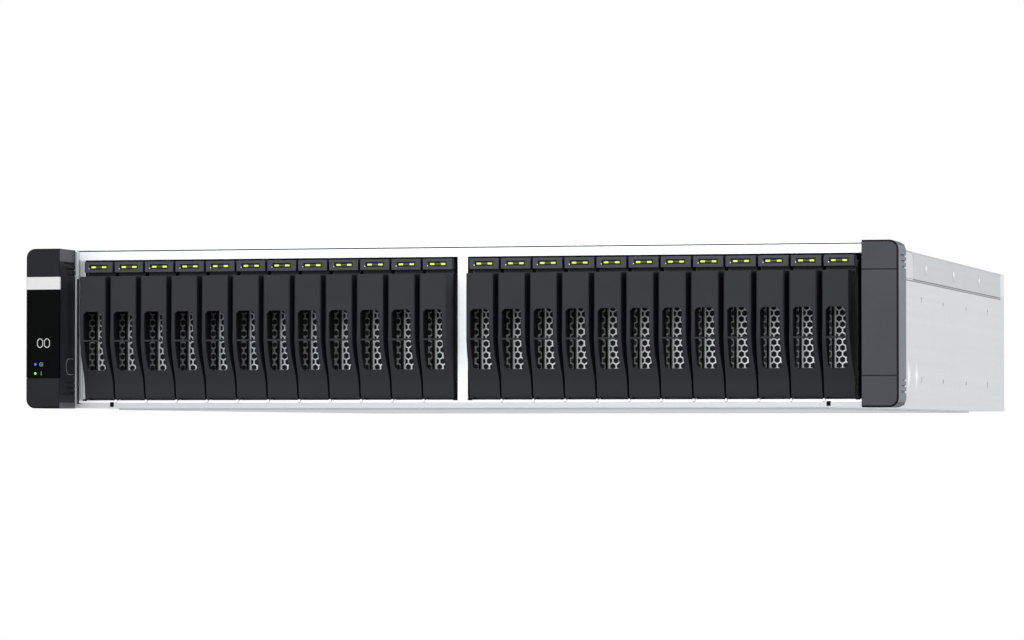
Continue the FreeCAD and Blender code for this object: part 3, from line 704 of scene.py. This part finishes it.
class RACK_OT_levers(bpy.types.Operator):
    """Build the curved tray levers with rounded edges"""
    bl_idname = "rack.levers"
    bl_label = "Build tray levers"

    # Side view of the cheeks inside the window, dark with painted shade: depth and height in millimetres,
    # then their places
    cheek_line = ((1.3, 53.8), (1.3, 44.8), (1.7, 39.0), (3.1, 33.4), (5.3, 28.0), (8.3, 23.0), (8.9, 22.3),
                  (8.9, 53.8))
    cheek_places = (-0.0053, 0.0049)
    cheek_thickness = 0.0004

    def execute(self, context):
        draft = Draft("lever_satin", "shadow_hole", node="tray_lever_01")
        softened(draft.shape, 0.0003, 40.0)
        low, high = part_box("tray_lever_01")
        for place in self.cheek_places:
            x = (low.x + high.x) / 2 + place
            draft.slab([(x, low.y + y / 1000, z / 1000) for y, z in self.cheek_line], (1, 0, 0),
                       self.cheek_thickness, "shadow_hole")
        mesh = draft.mesh("lever")
        for name in trays:
            number = name[-2:]
            node = "tray_lever_" + number
            own = mesh.copy()
            own.transform(Matrix.Translation((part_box(node)[0].x - low.x, 0.0, 0.0)))
            set_out("lever_" + number + "_moulded", own, "lever_" + number, "lever_plastic", node)
        bpy.data.meshes.remove(mesh)
        return {"FINISHED"}


class RACK_OT_ears(bpy.types.Operator):
    """Build the rack ears with their glossy rims, and the tab on the left one"""
    bl_idname = "rack.ears"
    bl_label = "Build rack ears"

    # The left ear's inner side gets a painted sheen, a lighter bluish reflection, below and above these
    # heights
    plain_heights = (0.004, 0.0814)

    def execute(self, context):
        # The right ear takes the lighter copy of the ear plastic, which is painted light
        for node, label, slot in (("left_ear_cover", "ear_charcoal", "ear_plastic"),
                                  ("right_ear_cover", "ear_painted_lit", "ear_plastic_grey")):
            draft = Draft(label, "ear_rim_and_notch_shade", "ear_painted_lit_side", "ear_painted_sheen", node=node, bevel=0.00025)
            shape = draft.shape
            for z in self.plain_heights:
                bmesh.ops.bisect_plane(shape, geom=shape.verts[:] + shape.edges[:] + shape.faces[:],
                                       plane_co=(0, 0, z), plane_no=(0, 0, 1))
            shape.normal_update()
            low, high = self.plain_heights
            # Painted sheen on the left ear's inner side, below and above the plain band
            draft.paint(shape.faces, "ear_painted_sheen", lambda way, spot: way.x > 0.9 and not low < spot.z < high)
            # Painted light on the right ear's outer side
            draft.paint(shape.faces, "ear_painted_lit_side", lambda way, spot: way.x > 0.9 and spot.x > 0)
            draft.paint(shape.faces, "ear_rim_and_notch_shade", self.on_rim)
            draft.piece(node + "_moulded", "chassis", slot, node)
        self.build_tab()
        return {"FINISHED"}

    def on_rim(self, way, spot):
        """The bevel round the front, and the ends of the notches, which are painted near-black as shade
        inside the notches.
        """
        behind = spot.y - ear_low.y
        notch = abs(way.z) > 0.9 and 0.006 < spot.z < 0.083 and behind > 0.003
        return notch or behind < 0.0012 and 0.3 < abs(way.y) < 0.95

    def build_tab(self):
        """The thumb tab, with a thin painted highlight along its rounded front."""
        draft = Draft("ear_charcoal", "print_grey", node="ear_button", bevel=0.0003)
        low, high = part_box("ear_button")
        middle = (low.z + high.z) / 2
        round_y, end_y = -0.2684, -0.261
        turns = [math.pi / 2 + math.pi * step / 16 for step in range(17)]
        lines = []
        for radius in (0.0045, 0.0041):
            line = [(round_y + radius * math.cos(turn), middle + radius * math.sin(turn)) for turn in turns]
            line += [(end_y, middle - radius), (end_y, middle + radius)]
            lines.append([(high.x, y, z) for y, z in line])
        # Painted highlight along the tab's rounded rim
        draft.ring(*lines, (1, 0, 0), 2 * film, "print_grey")
        draft.piece("ear_button_moulded", "button", "ear_plastic", "ear_button")


class RACK_OT_display(bpy.types.Operator):
    """Build the display glass with its band, counter, lamps and signs"""
    bl_idname = "rack.display"
    bl_label = "Build display"

    digit_places = (-0.2330, -0.2290)
    corner_cut = 0.0011
    band_height = 0.008
    lamp_x, sign_x = -0.2357, -0.2323
    upper_z, lower_z = 0.0249, 0.0199

    def execute(self, context):
        sizes = context.scene.rack_panel
        draft = Draft("panel_black", "band_white", node="display_window", bevel=0.0001)
        top = window_high.z - self.band_height
        draft.paint(draft.shape.faces, "band_white", lambda way, spot: spot.z > top)
        draft.piece("display_panel", "chassis", "display_glass", "display_window")
        y, out = window_low.y, (0, -1, 0)
        signs = Draft("digit_light", "blue_lamp", "green_lamp", "print_grey")
        for x in self.digit_places:
            lines = []
            for grow in (0.0, sizes.stroke):
                a, b = sizes.digit_width / 2 - grow, sizes.digit_height / 2 - grow
                cut = self.corner_cut - 0.4 * grow
                corners = [(a, b - cut), (a - cut, b), (cut - a, b), (-a, b - cut), (-a, cut - b),
                           (cut - a, -b), (a - cut, -b), (a, cut - b)]
                lines.append([(x + u, y, sizes.digit_z + v) for u, v in corners])
            signs.ring(*lines, out, film, "digit_light")
        for z, label in ((self.upper_z, "blue_lamp"), (self.lower_z, "green_lamp")):
            signs.slab(round_points(self.lamp_x, z, y, sizes.lamp, 16), out, film, label)
        signs.ring(round_points(self.sign_x, self.upper_z, y, 0.0011, 20),
                   round_points(self.sign_x, self.upper_z, y, 0.0008, 20), out, film, "print_grey")
        # A dot inside the round sign, and an upright stroke beside the lower lamp
        for half, low, high in ((0.0003, 0.0247, 0.0251), (0.00015, 0.0188, 0.0210)):
            signs.block((self.sign_x - half, y - film, low), (self.sign_x + half, y, high), "print_grey")
        signs.piece("display_signs", "chassis", "display_glass", smooth=False)
        return {"FINISHED"}


class RACK_OT_case(bpy.types.Operator):
    """Finish the case tub, the midplane, the drive cage and the lid"""
    bl_idname = "rack.case"
    bl_label = "Finish case"

    bevel = 0.00015
    rail_top = 0.0056

    def execute(self, context):
        # The tub's sides take the darker copy of the zinc, which is painted shade
        dress("chassis_tub", "zinc_shaded_side")
        dress("midplane_board", "board_green")
        cage = Draft("zinc_sheet", "zinc_shaded_side", "zinc_shaded_lid", node="drive_cage", bevel=self.bevel)
        # Painted shade: the cage's bottom rail and side flanges take the darker side zinc, and its top the
        # darker lid zinc
        cage.paint(cage.shape.faces, "zinc_shaded_side", lambda way, spot: spot.z < self.rail_top
                   or way.y > -0.5 and abs(spot.x) > half_case - 0.0012)
        cage.paint(cage.shape.faces, "zinc_shaded_lid", lambda way, spot: way.y > -0.5
                   and spot.z > lid_high.z - 0.0011)
        cage.piece("drive_cage_dressed", "chassis", "bright_steel", "drive_cage")
        lid = Draft("zinc_shaded_lid", "zinc_shaded_flange", node="top_cover")
        for vert in lid.shape.verts:
            vert.co.z = min(vert.co.z, lid_top)
        softened(lid.shape, self.bevel)
        lid.shape.normal_update()
        # Painted shade on the lid's side flanges
        lid.paint(lid.shape.faces, "zinc_shaded_flange", lambda way, spot: way.z <= 0.5)
        lid.piece("top_cover_dressed", "cover", "bright_steel", "top_cover")
        return {"FINISHED"}


class RACK_OT_fittings(bpy.types.Operator):
    """Add the bumps, holes, grooves, embosses and screws of the case"""
    bl_idname = "rack.fittings"
    bl_label = "Add case fittings"

    rail_heights = (0.0173, 0.0625)
    # The lid's three oblong bumps on each side, ringed with painted shade: the first one's place, and the
    # step to the next
    bump_y, bump_z, bump_step = -0.0635, 0.0808, (0, 0.1065, 0)
    # The lid's screws and its two pressed ovals, each ringed with painted shade
    screw_x, screw_step, screw_inset = -0.205, (0.1025, 0, 0), 0.009
    oval_x, oval_step, oval_inset = -0.12, (0.24, 0, 0), 0.06

    def execute(self, context):
        labels = ("shadow_hole", "zinc_shaded_side", "zinc_sheet", "zinc_groove_shade", "screw_zinc", "zinc_shaded_lid")
        case, lid = Draft(*labels), Draft(*labels)
        for side, sign in (("right", 1), ("left", -1)):
            x = sign * half_case
            for z in self.rail_heights:
                # Dark discs of painted shade stand for the rail holes
                case.studs("zinc_groove_shade", side, (x, 0.0015, z), (0, 0.093, 0), 2, 0.0013, mark)
                bump = (x - sign * 0.0014, -0.0795, z)
                case.studs("zinc_shaded_side", side, bump, (0, 0.267, 0), 2, 0.0026, 0.0005)
            # The long embosses low on each side take the brighter front zinc, which is a painted highlight on
            # them
            case.studs("zinc_sheet", side, (x, -0.1265, 0.0193), (0, 0.027, 0), 2, 0.0019, 0.0009, 0.0007,
                       stretch=4.2)
            # Painted shade along the cover's seam and under the lid, and the bright end behind the lid
            left, right = sorted((x, x + sign * mark))
            low, high, end = lid_low.z, lid_high.z, lid_high.y
            for y0, z0, y1, z1, label in (
                    (-0.2545, low - 0.0015, end, low - 0.0009, "zinc_groove_shade"),
                    (lid_low.y, low - 0.0006, end, low - 0.0002, "zinc_groove_shade"),
                    (end + 0.0005, low + 0.001, y_rear - 0.0003, high - 0.0004, "zinc_sheet")):
                case.block((left, y0, z0), (right, y1, z1), label)
            bump = (x, self.bump_y, self.bump_z)
            lid.studs("zinc_groove_shade", side, bump, self.bump_step, 3, 0.0017, mark, stretch=2.3)
            lid.studs("zinc_shaded_side", side, bump, self.bump_step, 3, 0.0015, 0.0007, 0.0007, stretch=2.4)
        for y in (lid_low.y + self.screw_inset, lid_high.y - self.screw_inset):
            lid.screws("top", (self.screw_x, y, lid_top), self.screw_step, 5)
        for label, radius, z in (("zinc_groove_shade", 0.012, lid_top), ("zinc_shaded_lid", 0.0117, lid_top + film)):
            start = (self.oval_x, lid_high.y - self.oval_inset, z)
            lid.studs(label, "top", start, self.oval_step, 2, radius, film, stretch=2.0, sides=32)
        case.piece("case_side_fittings", "chassis", "bright_steel")
        lid.piece("lid_fittings", "cover", "bright_steel")
        return {"FINISHED"}


class RACK_OT_bays(bpy.types.Operator):
    """Add the flange, slots, foot marks and lip bumps of the drive bays"""
    bl_idname = "rack.bays"
    bl_label = "Add bay fittings"

    def execute(self, context):
        y = cage_low.y
        floor, ceiling = first_low.z, lid_low.z + 0.009
        draft = Draft("shadow_hole", "zinc_sheet", "zinc_groove_shade", "module_zinc_and_shade")
        # The plate beside the left ear, with two upright seams drawn as lines of painted shade
        draft.block((-0.2191, y, floor), (-0.2155, y + 0.0012, ceiling), "module_zinc_and_shade", 0.0002)
        for x in (-0.2184, -0.2172):
            draft.block((x, y - mark, floor + 0.001), (x + 0.0002, y, ceiling - 0.001), "zinc_groove_shade")
        # The step along the bottom rail, and painted shade on the edge under it
        inset = half_case - 0.003
        draft.block((-inset, y + 0.0003, 0.0032), (inset, y + 0.0008, 0.0039), "module_zinc_and_shade", 0.0001)
        draft.block((-half_case, y - mark, 0.0011), (half_case, y, 0.0032), "module_zinc_and_shade")
        # Slots near both ends of the rail, and painted shade at the feet of the divider and beside the ears
        for sign in (-1, 1):
            for x, half, front, back, low, high, bevel in (
                    (0.2, 0.0011, 0.00006, 0.0, 0.0017, 0.0043, 0.00002),
                    (0.0041, 0.0013, 0.0002, 0.001, 0.0050, 0.0060, 0.0001),
                    (0.2158, 0.0012, 0.0002, 0.001, 0.0050, 0.0060, 0.0001)):
                draft.block((sign * x - half, y - front, low), (sign * x + half, y + back, high),
                            "shadow_hole", bevel)
        # A bump on the lip between every two trays of each half
        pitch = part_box(trays[1])[0].x - first_low.x
        half = len(trays) // 2
        for name in (trays[0], trays[half]):
            low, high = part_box(name)
            gap = (low.x + high.x + pitch) / 2
            draft.studs("zinc_sheet", "front", (gap, y + 0.0001, 0.0049), (pitch, 0, 0), half - 1, 0.00105,
                        0.0009, 0.0007)
        draft.piece("bay_fittings", "chassis", "bright_steel")
        return {"FINISHED"}


def framed(draft, x, half, low, high, rim, depth):
    """Adds a bright frame round an opening at the back."""
    lines = []
    for grow in (rim, 0.0):
        a, b0, b1 = half + grow, low - grow, high + grow
        lines.append([(x - a, y_rear, b0), (x + a, y_rear, b0), (x + a, y_rear, b1), (x - a, y_rear, b1)])
    draft.ring(*lines, (0, 1, 0), depth, "zinc_sheet")


class RACK_OT_controllers(bpy.types.Operator):
    """Build the two controllers with their ports, lamps, vents and screws"""
    bl_idname = "rack.controllers"
    bl_label = "Build controllers"

    network_ports = (-0.058, -0.036, -0.014, 0.008)
    usb_ports = (0.036, 0.048)
    # Heights above the controller's floor
    port_low, network_high, usb_high, vent_z = 0.009, 0.021, 0.0225, 0.026
    screw_heights = (0.006, 0.034)

    def execute(self, context):
        for node in ("controller_lower", "controller_upper"):
            draft = Draft("module_zinc_and_shade", "dark_plastic_and_shade", "zinc_sheet", "contact_gold", "shadow_hole",
                          "usb_blue", "green_lamp", "amber_lamp", "screw_zinc", node=node)
            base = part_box(node)[0].z
            body, *loops = islands(draft.shape)
            for faces in loops:
                draft.paint(faces, "dark_plastic_and_shade")
            draft.paint(body, "shadow_hole", lambda way, spot: abs(spot.x) < 0.065
                        and y_rear - 0.0035 < spot.y < y_rear - 0.0001)
            softened(draft.shape, 0.0002)
            self.add_ports(draft, base)
            for row in range(4):
                start = (-0.0690 + row % 2 * 0.0023, y_rear, base + self.vent_z + row * 0.0034)
                draft.studs("shadow_hole", "back", start, (0.0046, 0, 0), 30, 0.0015, mark, sides=6)
            for z in self.screw_heights:
                draft.screws("back", (-0.127, y_rear, base + z), (0.254, 0, 0), 2)
            draft.piece(node + "_dressed", node, "module_steel", node)
        return {"FINISHED"}

    def add_ports(self, draft, base):
        """Metal port frames, contacts, tongues and the two lamps over each network port."""
        y = y_rear
        low, high = base + self.port_low, base + self.network_high
        for x in self.network_ports:
            framed(draft, x, 0.007, low, high, 0.0009, 0.0005)
            draft.studs("contact_gold", "back", (x - 0.0042, y - 0.0031, high - 0.002), (0.0012, 0, 0), 8,
                        0.00035, 0.0016, stretch=3.0, sides=4)
            draft.block((x - 0.0025, y - 0.0032, low), (x + 0.0025, y - 0.0004, low + 0.0022), "dark_plastic_and_shade",
                        0.0002)
            for label, shift in (("green_lamp", -0.0055), ("amber_lamp", 0.0055)):
                draft.stud(label, "back", (x + shift, y, high + 0.0022), 0.0008, 0.0003)
        for x in self.usb_ports:
            high = base + self.usb_high
            framed(draft, x, 0.00325, low, high, 0.0006, 0.0004)
            draft.block((x - 0.0017, y - 0.0031, low + 0.0012), (x + 0.0002, y - 0.0003, high - 0.0012),
                        "usb_blue", 0.0001)


class RACK_OT_power(bpy.types.Operator):
    """Build the two power modules with their fans, guards, inlets and lamps"""
    bl_idname = "rack.power"
    bl_label = "Build power modules"

    # Heights of the fan and the mains inlet above the module's floor, and places from its inner side
    fan_z, inlet_z = 0.055, 0.016
    inlet_x, lamp_x = 0.0181, 0.045
    screw_reach = 0.025
    # A blade's outline: radius, and how far it lags behind the blade's start
    blades = 7
    blade_line = ((0.0085, 0.0), (0.0165, 0.18), (0.0258, 0.2), (0.0262, 0.72), (0.0165, 0.66), (0.0085, 0.5))

    def execute(self, context):
        for node, body in (("power_supply_left", "power_left"), ("power_supply_right", "power_right")):
            draft = Draft("module_zinc_and_shade", "dark_plastic_and_shade", "shadow_hole", "zinc_sheet", "contact_gold",
                          "green_lamp", "screw_zinc", "latch_teal", node=node)
            low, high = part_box(node)
            sign = 1 if low.x > 0 else -1
            inner = min(abs(low.x), abs(high.x))
            x, z = (low.x + high.x) / 2, low.z + self.fan_z
            inlet, zi = sign * (inner + self.inlet_x), low.z + self.inlet_z
            module, *loops = islands(draft.shape)
            for faces in loops:
                draft.paint(faces, "dark_plastic_and_shade")
            draft.paint(module, "dark_plastic_and_shade", lambda way, spot: abs(spot.x - inlet) < 0.0156
                        and abs(spot.z - zi) < 0.0121 and y_rear - 0.0201 < spot.y < y_rear - 0.0001)
            draft.paint(module, "shadow_hole", lambda way, spot: abs(spot.z - z) < 0.03
                        and abs(spot.y - (y_rear - 0.002)) < 0.00005)
            softened(draft.shape, 0.0002)
            self.add_fan(draft, x, z)
            for step in (-1, 0, 1):
                pin = inlet + step * 0.007
                draft.block((pin - 0.0011, y_rear - 0.0158, zi - 0.0026),
                            (pin + 0.0011, y_rear - 0.0059, zi + 0.0026), "contact_gold", 0.0002)
            lamp = sign * (inner + self.lamp_x)
            draft.stud("green_lamp", "back", (lamp, y_rear, zi + 0.010), 0.0013, 0.0005, 0.0009)
            draft.block((lamp - 0.004, y_rear - 0.0001, zi - 0.011),
                        (lamp + 0.004, y_rear + 0.005, zi - 0.006), "latch_teal", 0.0008)
            reach_out = self.screw_reach
            for corner in (-reach_out, reach_out):
                draft.screws("back", (x + corner, y_rear, z - reach_out), (0, 0, 2 * reach_out), 2)
            draft.piece(node + "_dressed", body, "module_steel", node)
        return {"FINISHED"}

    def add_fan(self, draft, x, z):
        """Hub, blades, guard wires and the spokes that hold them."""
        y = y_rear - 0.0019
        draft.stud("dark_plastic_and_shade", "back", (x, y, z), 0.0095, 0.0011, 0.009, sides=32)
        for blade in range(self.blades):
            start = blade * 2 * math.pi / self.blades
            draft.slab([(x + radius * math.cos(start + lag), y, z + radius * math.sin(start + lag))
                        for radius, lag in self.blade_line], (0, 1, 0), 0.0007, "dark_plastic_and_shade")
        draft.grow("guard_wires", "zinc_sheet", Count=5, Centre=(x, y_rear + 0.0004, z), Inner=0.009,
                   Pitch=0.0043, Wire=0.0006)
        centre = Vector((x, y_rear - 0.0004, z))
        for spoke in range(4):
            angle = math.radians(45 + 90 * spoke)
            aside = Vector((-math.sin(angle), 0, math.cos(angle))) * 0.0006
            along = Vector((math.cos(angle), 0, math.sin(angle)))
            start, end = centre + along * 0.008, centre + along * 0.0332
            draft.slab([start - aside, end - aside, end + aside, start + aside], (0, 1, 0), 0.0012,
                       "zinc_sheet")


class RACK_OT_studio(bpy.types.Operator):
    """Set up the floor, the light and the camera"""
    bl_idname = "rack.studio"
    bl_label = "Set up studio"

    # Each lamp's name, place, target, width, height and power
    lamps = (("front_softbox", (0.3, -2.6, 1.7), (0.0, -0.2, 0.04), 2.2, 1.4, 26.0),
             ("key_softbox", (-0.25, -2.3, 0.75), (0.0, -0.26, 0.04), 0.8, 0.5, 11.0),
             ("side_softbox", (2.2, -0.9, 0.9), (0.1, 0.0, 0.04), 1.6, 1.4, 22.0),
             ("back_softbox", (-0.6, 1.9, 1.6), (0.0, 0.0, 0.04), 2.0, 1.2, 14.0))

    def execute(self, context):
        scene = context.scene
        settings = scene.rack_studio
        scene.view_settings.view_transform = "Standard"
        self.build_floor()
        self.build_world(settings.fill_below, settings.fill)
        for lamp in self.lamps:
            self.hang_lamp(*lamp)
        data = bpy.data.cameras.new("camera")
        data.lens = settings.lens
        data.sensor_width = 36.0
        data.clip_start = 0.01
        data.clip_end = 60.0
        camera = linked("camera", data)
        camera.location = settings.place
        camera.rotation_euler = (math.pi / 2 + settings.tilt, 0.0, settings.turn)
        scene.camera = camera
        return {"FINISHED"}

    def build_floor(self):
        """A pale floor that shows from above only and lets light reach the object's underside."""
        draft = Draft()
        bmesh.ops.create_grid(draft.shape, x_segments=4, y_segments=4, size=6.0)
        floor = linked("floor", draft.mesh("floor"))
        floor.location.z = -0.0002
        material = bpy.data.materials.new("pale_floor")
        material.use_nodes = True
        nodes = material.node_tree.nodes
        bench = NodeBench(material.node_tree)
        shader = nodes["Principled BSDF"]
        shader.inputs["Base Color"].default_value = (0.86, 0.86, 0.86, 1.0)
        shader.inputs["Roughness"].default_value = 0.8
        below = bench.add("ShaderNodeNewGeometry").outputs["Backfacing"]
        path = bench.add("ShaderNodeLightPath").outputs
        bounced = bench.math("MAXIMUM", path["Is Diffuse Ray"], path["Is Glossy Ray"])
        mix = bench.add("ShaderNodeMixShader", {0: bench.math("MAXIMUM", below, bounced), 1: shader,
                                                2: bench.add("ShaderNodeBsdfTransparent")})
        bench.feed(nodes["Material Output"].inputs["Surface"], mix)
        floor.data.materials.append(material)

    def build_world(self, below, above):
        """White to the eye and in reflections, softer as light and softest from below."""
        world = bpy.data.worlds.new("studio")
        bpy.context.scene.world = world
        world.use_nodes = True
        bench = NodeBench(world.node_tree)
        path = bench.add("ShaderNodeLightPath").outputs
        seen = bench.math("MAXIMUM", path["Is Camera Ray"],
                          bench.math("MAXIMUM", path["Is Glossy Ray"], path["Is Transmission Ray"]))
        sky = bench.add("ShaderNodeSeparateXYZ", {0: bench.add("ShaderNodeTexCoord").outputs["Generated"]})
        fill = bench.add("ShaderNodeMapRange", {"Value": sky.outputs["Z"], "From Min": -0.1, "From Max": 0.1,
                                                "To Min": below, "To Max": above})
        back = world.node_tree.nodes["Background"]
        back.inputs["Color"].default_value = (1.0, 1.0, 1.0, 1.0)
        bench.feed(back.inputs["Strength"], ranged(bench, seen, fill, 1.0))

    def hang_lamp(self, name, place, target, wide, tall, power):
        data = bpy.data.lights.new(name, "AREA")
        data.shape = "RECTANGLE"
        data.size = wide
        data.size_y = tall
        data.energy = power
        lamp = linked(name, data)
        lamp.location = place
        lamp.rotation_euler = (Vector(target) - Vector(place)).to_track_quat("-Z", "Y").to_euler()


steps = (RACK_OT_finishes, RACK_OT_case, RACK_OT_fittings, RACK_OT_bays, RACK_OT_controllers, RACK_OT_power,
         RACK_OT_ears, RACK_OT_display, RACK_OT_trays, RACK_OT_levers, RACK_OT_studio)


class RACK_PT_panel(bpy.types.Panel):
    """Lists the steps that build the server's looks"""
    bl_label = "Rack server"
    bl_idname = "RACK_PT_panel"
    bl_space_type = "VIEW_3D"
    bl_region_type = "UI"
    bl_category = "Rack server"

    def draw(self, context):
        for step in steps:
            self.layout.operator(step.bl_idname)


groups = (("rack_finish", FinishColours), ("rack_shield", ShieldSizes), ("rack_panel", PanelSizes),
          ("rack_studio", StudioSettings))


def register():
    for name, group in groups:
        bpy.utils.register_class(group)
        setattr(bpy.types.Scene, name, bpy.props.PointerProperty(type=group))
    for step in (*steps, RACK_PT_panel):
        bpy.utils.register_class(step)


def unregister():
    for step in reversed((*steps, RACK_PT_panel)):
        bpy.utils.unregister_class(step)
    for name, group in reversed(groups):
        delattr(bpy.types.Scene, name)
        bpy.utils.unregister_class(group)


def main():
    register()
    for step in steps:
        family, action = step.bl_idname.split(".")
        getattr(getattr(bpy.ops, family), action)()


if __name__ == "__main__":
    main()
